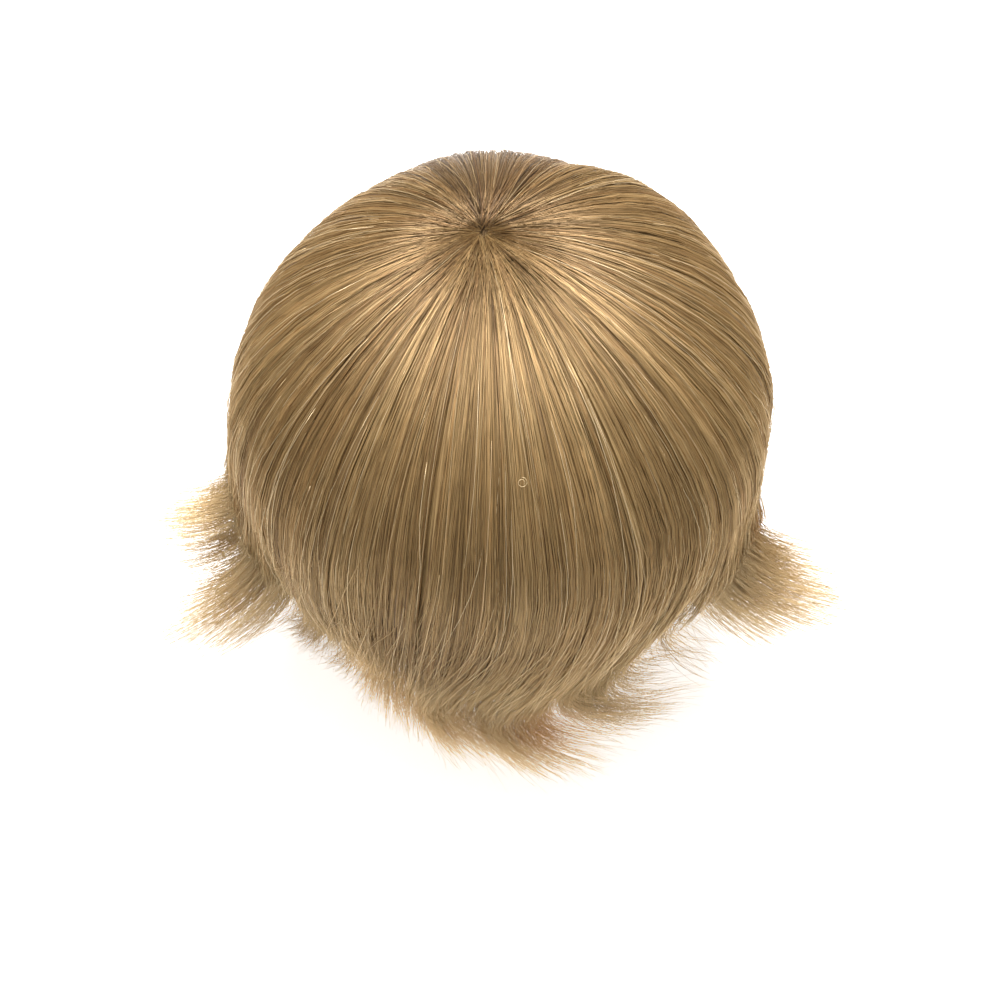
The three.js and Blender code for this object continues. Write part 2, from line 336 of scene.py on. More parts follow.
# %% [markdown]
# ## Strands as joined tubes
#
# A hair system would grow the strands, but its curves are not a mesh, and the finished model
# has to be one. So each strand is a closed tube with three sides, and all of a lock's tubes
# are one mesh, made from whole arrays of points. Three sides with smooth normals still catch
# the light along a line, as a real hair does. Over the crown all strands bend at the same
# stations, so neighbours lie flat against each other and don't dip through the hair below.


# %% Stations along the hair
STATIONS = [0.0, 0.04, 0.08, 0.12, 0.17, 0.23, 0.29, 0.35, 0.40, 0.45, 0.50, 0.55, 0.60, 0.66, 0.73]
STATIONS = np.array(STATIONS)
FREE_STEPS = np.array([0.24, 0.44, 0.61, 0.76, 0.89, 1.0])
print("stations:", STATIONS.round(3))


# %% Meshes from arrays
def new_mesh(name, points, corners, loop_starts, marks=None, uv=None):
    """An object at the origin from arrays: points in mm, corners and where each face starts."""
    mesh = bpy.data.meshes.new(name)
    mesh.vertices.add(len(points))
    mesh.vertices.foreach_set("co", (points * MM).astype(np.float32).ravel())
    mesh.loops.add(len(corners))
    mesh.loops.foreach_set("vertex_index", corners.astype(np.int32))
    mesh.polygons.add(len(loop_starts))
    mesh.polygons.foreach_set("loop_start", loop_starts.astype(np.int32))
    mesh.polygons.foreach_set("use_smooth", np.ones(len(loop_starts), bool))
    mesh.update(calc_edges=True)
    if marks is not None:
        layer = mesh.attributes.new("hair", "FLOAT_COLOR", "POINT")
        layer.data.foreach_set("color", marks.astype(np.float32).ravel())
    if uv is not None:
        layer = mesh.uv_layers.new(name="lay")
        layer.data.foreach_set("uv", uv[corners].astype(np.float32).ravel())
    return add_object(name, mesh)


def tube_arrays(lines, outward, radius, marks):
    """Closed three-sided tubes round lines (strand, point, xyz). A ring is the line's point plus
    radius times (cosine outward plus sine sideways). Gives the points, the corners of the faces
    with four sides and with three, and the marks."""
    count, length, _ = lines.shape
    along = unit(np.gradient(lines, axis=1))
    out = unit(outward - along * (outward * along).sum(-1, keepdims=True))
    side = np.cross(along, out)
    turn = np.radians([0, 120, 240])[:, None]
    ring = np.cos(turn) * out[:, :, None] + np.sin(turn) * side[:, :, None]
    points = lines[:, :, None] + radius[:, :, None, None] * ring
    first = np.arange(count)[:, None, None] * length * 3
    step, spoke = np.meshgrid(np.arange(length - 1), np.arange(3), indexing="ij")
    a, b = step * 3 + spoke, step * 3 + (spoke + 1) % 3
    walls = first + np.stack([a, b, b + 3, a + 3], axis=-1).reshape(1, -1, 4)
    ends = first + np.array([[0, 2, 1], [0, 1, 2]]) + np.array([[0], [3 * (length - 1)]])
    marks = np.repeat(marks[:, :, None], 3, axis=2).reshape(-1, 4)
    return points.reshape(-1, 3), walls.reshape(-1, 4), ends.reshape(-1, 3), marks


def join_tubes(name, parts):
    """One mesh from several sets of tubes: each set's corners move on by the points before it."""
    before = np.cumsum([0] + [len(part[0]) for part in parts])
    walls = np.concatenate([part[1] + skip for part, skip in zip(parts, before)])
    ends = np.concatenate([part[2] + skip for part, skip in zip(parts, before)])
    corners = np.concatenate([walls.ravel(), ends.ravel()])
    starts = np.concatenate([np.arange(len(walls)) * 4, walls.size + np.arange(len(ends)) * 3])
    points, marks = (np.concatenate([part[k] for part in parts]) for k in (0, 3))
    return new_mesh(name, points, corners, starts, marks)


# %% [markdown]
# ## Clumps
#
# Straight hair doesn't lie evenly. A few strands cling together in a fine clump, fine clumps
# lie in rounded locks a few millimetres wide, and those gather toward the tips in broad ones,
# with dark grooves between them. So a strand is pulled a little toward the middle of each clump
# that it is in, lies lower at a clump's edge, and shares its clump's sweep and flick.


# %% Clumps
CLUMPS = [
    # width in degrees, pull over the crown, pull at the tips, mm lower at its edge, seed
    (0.45, 0.18, 0.26, 0.07, 11),
    (1.5, 0.06, 0.26, 0.20, 12),
    (4.6, 0.00, 0.20, 0.45, 13),
    (11, 0.00, 0.10, 0.85, 16),
]


def clump(angle, width, seed):
    """The middle of the clump that each angle is in, and that clump's four random numbers. The
    clumps differ in width because a ripple warps the angle before it is counted."""
    count = round(360 / width)
    rng = np.random.default_rng(seed)
    jitter, lots = rng.uniform(0.25, 0.75, count), rng.random((count, 4))
    warp = 0.45 * width * ripple(angle, 0, count / 2.4, seed + 50)
    index = np.floor(np.mod(angle + warp, 360) / 360 * count).astype(int) % count
    middle = (index + jitter[index]) * 360 / count + angle - np.mod(angle + warp, 360)
    return middle, lots[index]


def bundle(angle, s, sizes):
    """How far hair lies under the outer sheet in mm because its clumps are round: for each size,
    its edge depth times the square of the way from the middle to the edge, from none to double."""
    total = 0
    for width, _, _, edge, seed in sizes:
        middle, lot = clump(angle, width, seed)
        off = (angle - middle) / (width / 2)
        total = total + 2 * lot[..., 2] * edge * np.minimum(off**2, 1.5)
    return total * (0.7 * ease(s, 0.05, 0.35) + 0.5 * ease(s, 0.35, 0.65))


print("fine clump middles:", clump(np.array([10.0, 10.3, 11.0]), CLUMPS[0][0], 1)[0].round(2))


# %% Tone and warm patches
WARM_SPOTS = [
    # angle, width in degrees, s, width in s, strength
    # Partly painted warm light on the left tuft's root
    (59, 4, 0.80, 0.07, 0.60),
    (17, 3, 0.90, 0.07, 0.60),
]

# The middle tone, how much painted shade darkens the hair behind the crown and where it turns
# under, and how much darker the roots are, partly as painted shade round the whorl
MIDDLE_TONE = 0.53
SHADE_BEHIND, SHADE_BELOW, DARK_ROOTS_AND_SHADE = 0.19, 0.06, 0.15


def warmth(angle, s):
    """The warm patches: each row of WARM_SPOTS times its strength."""
    return sum(spot[-1] * bell(angle, s, spot[:-1]) for spot in WARM_SPOTS)


def tone_at(angle, s):
    """The tone that hair shares at a place: the middle one with streaks, less painted shade behind
    the crown and where the hair turns under, and less the darker roots, partly painted shade
    round the whorl.
    """
    streaks = 0.07 * ripple(angle, s, 45, 21, 0.5) + 0.05 * ripple(angle, s, 160, 22, 0.6)
    behind = np.exp(-(((np.mod(angle, 360) - 180) / 50) ** 2)) * (1 - ease(s, 0.35, 0.5))
    roots = (1 - ease(s, 0.05, 0.24)) * ease(s, 0.004, 0.015)
    below = ease(s, 0.5, 0.75)
    return MIDDLE_TONE + streaks - SHADE_BEHIND * behind - SHADE_BELOW * below - DARK_ROOTS_AND_SHADE * roots


print("tones at the rim:", tone_at(np.array([0.0, 90.0, 180.0]), RIM).round(2))


# %% How strands stray from the sheet
LIE_RIPPLES = [
    # degrees, waves round the whorl, seed, drift, from s, to s
    (0.35, 70, 14, 1.5, 0.05, 0.30),
    (0.80, 28, 17, 2.2, 0.06, 0.30),
    (1.80, 13, 15, 1.6, 0.42, 0.80),
]

# In mm: a root's depth, the tangle at the whorl, and how far a tuft rises and droops
ROOT_DEPTH, TANGLE, FAN_RISE, FAN_DROOP = 2.2, 1.1, 9, 7

# The fans of the fringe and of the tufts, which have looser and paler tips
FRINGE_FAN, TUFT_FAN = 0.3, 0.9


def openness(fan):
    """How loose a lock's tips are: its share of the fringe's fan, and at most 1."""
    return np.minimum(fan / FRINGE_FAN, 1)


def lie(own, s):
    """The angle of each point: pulled to the middle of each clump in turn, then moved by the
    ripples and by the strand's own drift. Also each clump's four numbers, from -0.5 to 0.5."""
    angle, lots = own["angle"], []
    for width, crown, tips, _, seed in CLUMPS:
        middle, lot = clump(own["angle"], width, seed)
        grip = (0.4 + 1.2 * lot[..., 0]) * (crown + (tips - crown) * ease(s, 0.5, 0.95))
        grip = np.clip(grip * (1 - 0.6 * own["fan"]) * ease(s, 0.02, 0.2), 0, 0.9)
        angle = angle + (middle - angle) * grip * (1 - own["loose"])
        lots.append((lot - 0.5).transpose(2, 0, 1))
    for size, waves, seed, drift, start, end in LIE_RIPPLES:
        angle = angle + size * ripple(own["angle"], s, waves, seed, drift) * ease(s, start, end)
    strays = ease(s, own["root"], RIM + 0.1) + 1.6 * ease(s, 0.6, 1.03)
    return np.clip(angle + own["drift"] * strays, own["from"], own["to"]), lots


def moves(own, each, lots, s):
    """How much of the sheet's sweep, flick, drop, lift and curl each point has. It is 1 above the
    cap's edge, and toward the tips it differs from clump to clump and from strand to strand."""
    lock, broad, wide = lots[1:]
    free, steady = ease(s, 0.62, 1.0), own["steady"]
    added = {
        "sweep": free * (0.26 * lock[0] + 0.45 * broad[0] + 0.40 * wide[0] + 0.10 * each[:, 0]),
        "flick": free * steady * (0.30 * lock[1] + 0.34 * broad[1] + 0.15 * each[:, 1]),
        "drop": free * (0.06 * broad[2] + 0.02 * each[:, 2])
        - (0.11 * own["fan"] + 0.28 * own["rides"]) * ease(s, 0.58, 0.8),
        "lift": free * steady * (0.50 * lock[3] + 0.60 * broad[3] + 0.35 * each[:, 3]),
        "curl": free * (0.60 * broad[0] + 0.30 * each[:, 4]),
    }
    most = 1.2 - 0.12 * own["fan"]
    more = {key: np.clip(1 + value, 0.3, most) for key, value in added.items()}
    more["lift"] = more["lift"] * (1 - 0.75 * own["fan"] + 0.35 * own["rides"])
    return more


def depth_at(own, each, s, share, thick):
    """How deep each point lies under the sheet in mm: its own depth, its clumps' grooves, the root
    that comes up from below and its layer, but inside the hair. Then tips fray outward, and a
    tuft's strands rise before they fall."""
    rising = ease(own["root"], 0.04, 0.12) * (1 - ease(s, own["root"], own["root"] + 0.1))
    deep = own["depth"] + bundle(own["angle"], s, CLUMPS) + ROOT_DEPTH * rising
    deep = np.minimum(deep + own["layer"] * (thick - 0.6) * ease(s, 0.5, 0.7), 0.92 * thick)
    frayed = 1.1 * each[:, 5] * ease(s, 0.84, 1.03)
    frayed = frayed + 0.9 * np.abs(each[:, 4]) * ease(share, 0.8, 1.1)
    rise = FAN_RISE * (0.25 * own["fan"] + 0.75 * own["rides"])
    return deep - frayed - rise * ease(s, 0.56, 0.8) * (1 - 0.75 * ease(s, 0.82, 1.0))


def sideways(own, each, s):
    """How far each point strays along the outline in mm: a slow wave of the strand's own, a tangle
    at the whorl and a fray toward the tips."""
    wave = own["wander"] * np.sin(s * own["turns"] + own["phase"])
    tangle = TANGLE * each[:, 3] * (1 - ease(s, 0.02, 0.16))
    frayed = each[:, 5] * ease(s, 0.5, 0.9) + 4 * each[:, 6] * ease(s, 0.74, 1.03) ** 2
    return wave * ease(s, own["root"], own["root"] + 0.25) + tangle + own["steady"] * frayed


def strand_marks(own, lots, s, share):
    """The tone, paleness from wear and painted light, and warmth of each point. A clump shares some
    of its tone, and tips are pale, the fringe's most of all, partly as painted light. The more a
    lock fans, the lighter its hair past the cap's edge, as painted light."""
    fine, lock, broad, wide = lots
    shared = 0.06 * fine[1] + 0.07 * lock[2] + 0.06 * broad[3] + 0.07 * wide[2]
    # Painted light: the more a lock fans, the lighter its hair past the cap's edge
    tone = tone_at(own["angle"], s) + own["tone"] + shared + 0.14 * own["fan"] * ease(s, 0.6, 0.75)
    # The tips are pale partly from wear and partly as painted light
    tip_paleness = 1.1 * (0.5 + 0.5 * openness(own["fan"]) - 0.32 * (own["fan"] > TUFT_FAN))
    wear_and_light = np.maximum(tip_paleness * ease(s, 0.66, 0.92), own["wear_and_light"] * ease(share, 0.45, 1))
    warm = warmth(own["angle"], s) + own["warm"]
    return np.stack([np.clip(tone, 0.02, 1), wear_and_light, warm, np.ones_like(s)], axis=-1)


# %% Lines of hair
def strand_points(hair, s):
    """Lines, outward directions, radii and marks of strands, from one number for each strand and
    s for each point. The line is on the sheet, then moved inward, along the outline and outward,
    and a strand thins to two fifths of its radius."""
    own = {key: value[:, None] for key, value in hair.items() if value.ndim == 1}
    own["rides"] = own["fan"] * own["early"]
    own["steady"] = 1 - 0.65 * own["fan"]
    each = hair["each"][:, :, None]
    share = (s - own["root"]) / (own["tip"] - own["root"])
    angle, lots = lie(own, s)
    more = moves(own, each, lots, s)
    way = inward(angle, s, more)
    out, side = outline(angle)
    lines = outer(angle, s, more)
    lines += way * depth_at(own, each, s, share, thickness(angle, s))[..., None]
    lines += side * sideways(own, each, s)[..., None]
    lines += out * (own["steady"] * own["flare"] * ease(share, 0.5, 1.1) ** 2)[..., None]
    lines[..., 2] -= FAN_DROOP * own["fan"] * ease(s, 0.80, 1.04) ** 2
    radius = own["radius"] * (1 - 0.60 * ease(share, 0.5, 1))
    return lines, -way, radius, strand_marks(own, lots, s, share)


print("loose tips:", [row[0] for row in LOCKS if openness(row[-1]) == 1])

# %% [markdown]
# ## The colours of the hair
#
# Blonde hair is a mix: pale strands, honey ones and brown ones lie side by side, the roots are
# a little darker and the worn tips are pale. Painted shade darkens the tone too: behind the
# crown, where the hair turns under, round the whorl, in deeper strands and in the mass. The pale
# tips are partly painted light, and so are the lighter tufts. A few patches are warmer, one of
# them partly as painted warm light. Each point of a strand carries three marks: its tone, how
# pale it is from wear and painted light, and its warmth. One shader group turns them into a
# colour, so the strands and the mass beneath them agree.


# %% Node helpers
def place(tree, kind, inputs=(), **settings):
    """Adds a node, sets its properties, and fills or links each of its inputs."""
    node = tree.nodes.new(kind)
    for key, value in settings.items():
        setattr(node, key, value)
    for key, value in dict(inputs).items():
        if isinstance(value, bpy.types.NodeSocket):
            tree.links.new(value, node.inputs[key])
        else:
            node.inputs[key].default_value = value
    return node


def new_material(name):
    """A material, its node tree and its Principled BSDF."""
    material = bpy.data.materials.new(name)
    material.use_nodes = True
    tree = material.node_tree
    return material, tree, tree.nodes["Principled BSDF"]


def new_group(name, ins, outs):
    """A shader node group with named float inputs and named outputs of the types given."""
    tree = bpy.data.node_groups.new(name, "ShaderNodeTree")
    for label, value in ins.items():
        socket = tree.interface.new_socket(label, in_out="INPUT", socket_type="NodeSocketFloat")
        socket.default_value = value
    for label, kind in outs.items():
        tree.interface.new_socket(label, in_out="OUTPUT", socket_type=kind)
    return tree, tree.nodes.new("NodeGroupInput"), tree.nodes.new("NodeGroupOutput")


def set_ramp(ramp, stops):
    """Puts colour stops (position, colour) on a Color Ramp."""
    elements = ramp.color_ramp.elements
    while len(elements) < len(stops):
        elements.new(0.5)
    for element, (position, colour) in zip(elements, stops):
        element.position = position
        element.color = (*colour, 1)


# %% The hair's colour as a node group
TONES = [
    (0.0, (0.060, 0.030, 0.010)),
    (0.3, (0.165, 0.096, 0.034)),
    (0.55, (0.340, 0.219, 0.088)),
    (0.8, (0.510, 0.357, 0.170)),
    (1.0, (0.700, 0.545, 0.330)),
]
# The pale colour of tips, from wear and painted light, and the warm colour
WEAR_AND_LIGHT_COLOUR, WARM_COLOUR = (0.90, 0.70, 0.40, 1), (0.62, 0.30, 0.10, 1)

# From the darkest tone to the palest
ROUGHNESS = (0.48, 0.39)


def mix_colour(tree, factor, first, second):
    """The colour of a Mix node. Its colours are the seventh and eighth inputs and third output."""
    inputs = {0: factor, 6: first, 7: second}
    return place(tree, "ShaderNodeMix", inputs, data_type="RGBA").outputs[2]


def map_range(tree, value, source, target):
    """The result of a Map Range node from one span of values to another."""
    inputs = {"Value": value, "From Min": source[0], "From Max": source[1]}
    inputs.update({"To Min": target[0], "To Max": target[1]})
    return place(tree, "ShaderNodeMapRange", inputs).outputs["Result"]


def maths(tree, operation, first, second):
    """The value of a Math node with two inputs."""
    node = place(tree, "ShaderNodeMath", {0: first, 1: second}, operation=operation)
    return node.outputs["Value"]


def relief(tree, shader, height, strength, distance):
    """Bump from a height, with its distance in mm, on a shader's normal."""
    inputs = {"Height": height, "Strength": strength, "Distance": distance * MM}
    bump = place(tree, "ShaderNodeBump", inputs)
    tree.links.new(bump.outputs["Normal"], shader.inputs["Normal"])


hair_colour, ins, outs = new_group(
    "hair_colour",
    {"Tone": 0.5, "WearAndLight": 0.0, "Warm": 0.0},
    {"Color": "NodeSocketColor", "Roughness": "NodeSocketFloat"},
)
ramp = place(hair_colour, "ShaderNodeValToRGB", {"Fac": ins.outputs["Tone"]})
set_ramp(ramp, TONES)
# How pale a point is, from wear and painted light
pale_share = maths(hair_colour, "MULTIPLY", ins.outputs["WearAndLight"], 0.85)
paler = mix_colour(hair_colour, pale_share, ramp.outputs["Color"], WEAR_AND_LIGHT_COLOUR)
copper = mix_colour(hair_colour, ins.outputs["Warm"], paler, WARM_COLOUR)
rough = map_range(hair_colour, ins.outputs["Tone"], (0.0, 1.0), ROUGHNESS)
hair_colour.links.new(copper, outs.inputs["Color"])
hair_colour.links.new(rough, outs.inputs["Roughness"])
print("tones from", TONES[0][1], "to", TONES[-1][1])


# %% The strand and mass materials
def hair_material(name, streaks=False):
    """A Principled material whose colour comes from the hair's marks. With streaks, stretched
    noise on the piece's own map draws strands between the real ones, in colour and in bump."""
    material, tree, shader = new_material(name)
    shader.inputs["Specular IOR Level"].default_value = 0.5
    shader.inputs["Metallic"].default_value = 0.42
    marks = place(tree, "ShaderNodeAttribute", attribute_name="hair")
    parts = place(tree, "ShaderNodeSeparateColor", {"Color": marks.outputs["Color"]})
    tone = parts.outputs["Red"]
    if streaks:
        own = place(tree, "ShaderNodeUVMap", uv_map="lay").outputs["UV"]
        stretch = place(tree, "ShaderNodeMapping", {"Vector": own, "Scale": (1.0, 0.012, 1.0)})
        lines = {"Vector": stretch.outputs["Vector"], "Scale": 2.6, "Detail": 3.0}
        fine = place(tree, "ShaderNodeTexNoise", lines).outputs["Fac"]
        tone = maths(tree, "ADD", tone, map_range(tree, fine, (0.3, 0.7), (-0.3, 0.3)))
        relief(tree, shader, fine, 0.7, 0.4)
    colour = place(tree, "ShaderNodeGroup", node_tree=hair_colour)
    tree.links.new(tone, colour.inputs["Tone"])
    tree.links.new(parts.outputs["Green"], colour.inputs["WearAndLight"])
    tree.links.new(parts.outputs["Blue"], colour.inputs["Warm"])
    tree.links.new(colour.outputs["Color"], shader.inputs["Base Color"])
    tree.links.new(colour.outputs["Roughness"], shader.inputs["Roughness"])
    return material


strand_material = hair_material("blonde_strands")
mass_material = hair_material("blonde_mass", streaks=True)
print("materials:", strand_material.name, mass_material.name)

# %% [markdown]
# ## The mass of each lock
#
# Under the loose surface strands the hair is so dense that no light gets through. That mass is
# a closed shell of each lock a millimetre under the outer sheet, with grooves along the hair,
# and its colour is darker than the strands as painted shade.
# It narrows and ends before the tips, where the hair thins out, so only strands are left.


# %% Sizes of the lock masses
# Degrees between columns, and the s of the first row
MASS_STEP, MASS_START = 0.7, 0.004

# The s of the last row, at a side lock's end, at a fringe's and what a tuft adds
MASS_END, FRINGE_END, TUFT_ADDS = 0.945, 0.77, 0.05

# How much narrower a lock is at its tips, how much sooner it ends at its edges, and the gap in mm
TAPER, ROUNDING, LOCK_GAP = 0.015, 0.04, 0.3

# How far in mm it lies under the sheet, the shares of thickness that each face closes in, and
# how much darker it is than the strands, as painted shade
MASS_BELOW, TOP_CLOSES, LOW_CLOSES, MASS_SHADE = 1.3, 0.38, 0.42, 0.10
MASS_ROWS = np.interp(np.arange(0, len(STATIONS) - 0.5, 0.5), np.arange(len(STATIONS)), STATIONS)
MASS_FREE_STEPS = np.array([0.25, 0.46, 0.65, 0.83, 1.0])

# Units of the streaks' map for a degree, and from the whorl to the tips
LAY = (2.3, 200)
print("rows of a mass:", len(MASS_ROWS) + len(MASS_FREE_STEPS))


def shell(upper, lower):
    """Joins two grids of points of the same size into one closed surface."""
    rows, columns, _ = upper.shape
    index = np.arange(rows * columns).reshape(rows, columns)
    under = index + rows * columns

    def strip(a, b, c, d):
        return np.stack([a, b, c, d], axis=-1).reshape(-1, 4)

    faces = [
        strip(index[:-1, :-1], index[1:, :-1], index[1:, 1:], index[:-1, 1:]),
        strip(under[:-1, :-1], under[:-1, 1:], under[1:, 1:], under[1:, :-1]),
        strip(index[:-1, 0], under[:-1, 0], under[1:, 0], index[1:, 0]),
        strip(index[:-1, -1], index[1:, -1], under[1:, -1], under[:-1, -1]),
        strip(index[0, :-1], index[0, 1:], under[0, 1:], under[0, :-1]),
        strip(index[-1, :-1], under[-1, :-1], under[-1, 1:], index[-1, 1:]),
    ]
    corners = np.concatenate(faces).ravel()
    points = np.concatenate([upper.reshape(-1, 3), lower.reshape(-1, 3)])
    return points, corners, np.arange(0, len(corners), 4)


# %% Lock masses
def lock_mass(name, start, end, fan):
    """A lock's dense hair on a grid of angles and stations. The upper face lies MASS_BELOW under
    the outer sheet, less in the crown's middle, and lower at the clumps' edges. Toward the end
    both faces close in on each other. The end is a ripple, rounded at the lock's edges."""
    columns = int((end - start) / MASS_STEP) + 1
    plain = np.linspace(start, end, columns)
    middle, half = (start + end) / 2, (end - start) / 2
    across = (plain - middle) / half
    last = MASS_END + (FRINGE_END - MASS_END) * openness(fan) + TUFT_ADDS * (fan > TUFT_FAN)
    last = last + 0.02 * ripple(plain, 0, 110, 31) + 0.015 * ripple(plain, 0, 30, 32)
    last = last - ROUNDING * np.abs(across) ** 8
    fixed = np.broadcast_to(np.maximum(MASS_ROWS, MASS_START)[:, None], (len(MASS_ROWS), columns))
    free = STATIONS[-1] + (last - STATIONS[-1]) * MASS_FREE_STEPS[:, None]
    s = np.concatenate([fixed, free])
    v = np.clip((s - RIM) / (1 - RIM), 0, 1)
    away = reach(plain, HAIR) * np.sin(np.pi / 2 * np.clip(s / RIM, 0, 1))
    gap = np.degrees(LOCK_GAP / 2 / away)
    angle = middle + across * (half * (1 - TAPER * v * v) - gap)
    thick, narrow = thickness(angle, s), ease(s, 0.6, last)
    below = MASS_BELOW - 0.4 * (ease(s, 0.2, 0.35) - ease(s, 0.5, 0.65))
    below = below + bundle(angle, s, CLUMPS[1:]) + TOP_CLOSES * thick * narrow
    way = inward(angle, s)
    high = outer(angle, s) + way * np.minimum(below, 0.45 * thick)[..., None]
    low = inner(angle, s) - way * (LOW_CLOSES * thick * narrow)[..., None]
    points, corners, starts = shell(high, low)
    # Painted shade: the mass is darker than the strands over it
    tone = tone_at(angle, s) - MASS_SHADE
    # The mass pales toward its end, partly from wear and partly as painted light
    pale = ease(s, 0.72, 0.98) * (0.5 + 0.5 * openness(fan))
    marks = np.stack([tone, pale, warmth(angle, s), np.ones_like(s)], axis=-1)
    lay = np.stack([angle, s], axis=-1) * LAY
    marks, lay = (np.concatenate([grid.reshape(-1, grid.shape[-1])] * 2) for grid in (marks, lay))
    return new_mesh(name + "_mass", points, corners, starts, marks, lay)


def triangle_count(obj):
    obj.data.calc_loop_triangles()
    return len(obj.data.loop_triangles)


triangles = {}
for name, start, end, _, _, fan in LOCKS:
    mass = lock_mass(name, start, end, fan)
    mass.data.materials.append(mass_material)
    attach(mass, "root")
    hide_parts(name)
    triangles[mass.name] = triangle_count(mass)
print("mass triangles:", sum(triangles.values()))

# %% [markdown]
# ## The strands
#
# Hair is tied in all over the cap, so the number of strands that cross a circle round the
# whorl grows with its radius. Roots spread evenly over the reach give that. Each strand comes
# up between its neighbours, runs over the mass and ends near the tip, some short and some long.
# A few more lie on the surface from the whorl on. Shorter strands inside the lock carry on where
# the mass ends, through its whole thickness. The cut is layered, so loose pale ends also lie on
# the lower half at every height.

# %% Numbers of strands
# Surface strands, inner ones and layered ends for each mm of a lock's arc
PER_MM, INNER_PER_MM, ENDS_PER_MM = 6.5, 4.6, 2.5

# The shares of strands that leave their clumps, and that start at the whorl, and how many
# degrees inside its lock's edge each one stays
STRAYING, CENTRAL, MARGIN = 0.06, 0.08, 0.05

# Points of a layered end
END_POINTS = 7
print("strands for each mm of arc:", PER_MM + INNER_PER_MM + ENDS_PER_MM)


# %% Surface strands, inner strands and layered ends
def random_hair(rng, count, start, end, fan):
    """Each strand's numbers: where it is, how it strays and what it looks like."""
    return {
        "angle": rng.uniform(start, end, count),
        "from": np.full(count, start + MARGIN),
        "to": np.full(count, end - MARGIN),
        "fan": np.full(count, fan),
        "loose": np.where(rng.random(count) < STRAYING, 0.9, 0.0),
        "wander": np.abs(rng.normal(0, 0.12, count)),
        "turns": rng.uniform(4, 9, count),
        "phase": rng.uniform(0, 2 * np.pi, count),
        "drift": rng.normal(size=count),
        "early": rng.random(count),
        "wear_and_light": 0.15 + 0.6 * rng.random(count) ** 2,
        "warm": 0.22 * rng.random(count) ** 3,
        "flare": 2.5 * np.abs(rng.normal(size=count)).clip(0, 2.2),
        "tone": (0.075 - 0.025 * fan) * rng.normal(size=count),
        "radius": rng.uniform(0.085, 0.14, count),
        "layer": np.zeros(count),
        "each": rng.normal(size=(count, 7)).clip(-2.2, 2.2),
    }


def wisps(angle, fan):
    """What a strand's clumps add to its tip: each ends in a point, since its middle is longest,
    and some are longer than others."""
    total = 0
    for (width, _, _, _, seed), amount in zip(CLUMPS[1:3], (0.03, 0.05)):
        middle, lot = clump(angle, width, seed)
        off = (angle - middle) / (width / 2)
        total = total + amount * (0.7 * lot[..., 1] - np.minimum(off**2, 1.5))
    return total * (1 - 0.7 * fan)


def surface_hair(rng, count, start, end, fan):
    """Strands from all over the crown, most of them as long as the lock. Their roots are spread
    evenly over the dome's plan, with more at the whorl."""
    hair = random_hair(rng, count, start, end, fan)
    hair["root"] = RIM * np.arcsin(rng.uniform(0.012, 0.9, count)) * 2 / np.pi
    central = rng.random(count) < CENTRAL
    hair["root"][central] = rng.uniform(0.004, 0.05, central.sum())
    hair["tip"] = 1.04 - (0.24 - 0.14 * fan) * rng.random(count) ** 1.7 + wisps(hair["angle"], fan)
    hair["tip"] = hair["tip"].clip(0.76, 1.05)
    hair["depth"] = rng.exponential(0.32, count).clip(0, 1.1) - 0.35
    # Painted shade: strands that lie deeper are darker, and those above the sheet lighter
    hair["tone"] -= 0.12 * hair["depth"]
    hair["wander"] += 1.2 * (hair["loose"] > 0)
    return hair


def inner_hair(rng, count, start, end, fan):
    """Strands that start inside the mass at any depth, and sooner where it ends early."""
    hair = random_hair(rng, count, start, end, fan)
    hair["root"] = rng.uniform(0.67, 0.735, count) - 0.05 * (fan >= FRINGE_FAN)
    hair["tip"] = 1.04 - (0.22 - 0.10 * fan) * rng.random(count) ** 1.3 + wisps(hair["angle"], fan)
    hair["tip"] = hair["tip"].clip(0.78, 1.05)
    hair["layer"] = rng.uniform(0.05, 0.9, count)
    hair["depth"] = np.full(count, 0.6)
    # Painted shade: inner strands are a little darker
    hair["tone"] -= 0.04
    return hair


def loose_ends(rng, count, start, end, fan):
    """Short pale ends of the layered cut, which cross the surface and lie flatter behind."""
    hair = random_hair(rng, count, start, end, fan)
    hair["root"] = rng.uniform(0.42, 0.66, count)
    hair["tip"] = hair["root"] + rng.uniform(0.16, 0.3, count)
    hair["depth"] = -rng.uniform(0.3, 1.1, count)
    front = np.cos(np.radians(hair["angle"])) > -0.3
    hair["depth"] *= np.where(front, 1.0, 0.35)
    hair["loose"] = np.full(count, 0.8)
    hair["drift"] = hair["drift"] * 2.2 - 1.5
    hair["flare"] *= np.where(front, 1.6, 0.3)
    hair["wander"] += np.abs(rng.normal(0, 0.8, count))
    hair["wear_and_light"] = rng.uniform(0.3, 1.3, count)
    hair["tone"] += rng.uniform(0.0, 0.25, count)
    hair["radius"] = rng.uniform(0.07, 0.13, count)
    return hair


def evenly(hair, points):
    """Tubes with evenly spaced points, for strands that don't lie against the mass."""
    share = np.linspace(0, 1, points)
    s = hair["root"][:, None] + (hair["tip"] - hair["root"])[:, None] * share
    return tube_arrays(*strand_points(hair, s))


def lay_strands(name, kinds, ends):
    """One lock's strands. Those rooted between the same two stations have the same number of
    points, so each such group is a whole array."""
    parts = [evenly(ends, END_POINTS)]
    for hair in kinds:
        group = np.searchsorted(STATIONS, hair["root"], side="right")
        for first in np.unique(group):
            mine = {key: value[group == first] for key, value in hair.items()}
            fixed = np.broadcast_to(STATIONS[first:], (len(mine["root"]), len(STATIONS) - first))
            free = STATIONS[-1] + (mine["tip"][:, None] - STATIONS[-1]) * FREE_STEPS
            s = np.concatenate([mine["root"][:, None], fixed, free], axis=1)
            parts.append(tube_arrays(*strand_points(mine, s)))
    return join_tubes(name, parts)


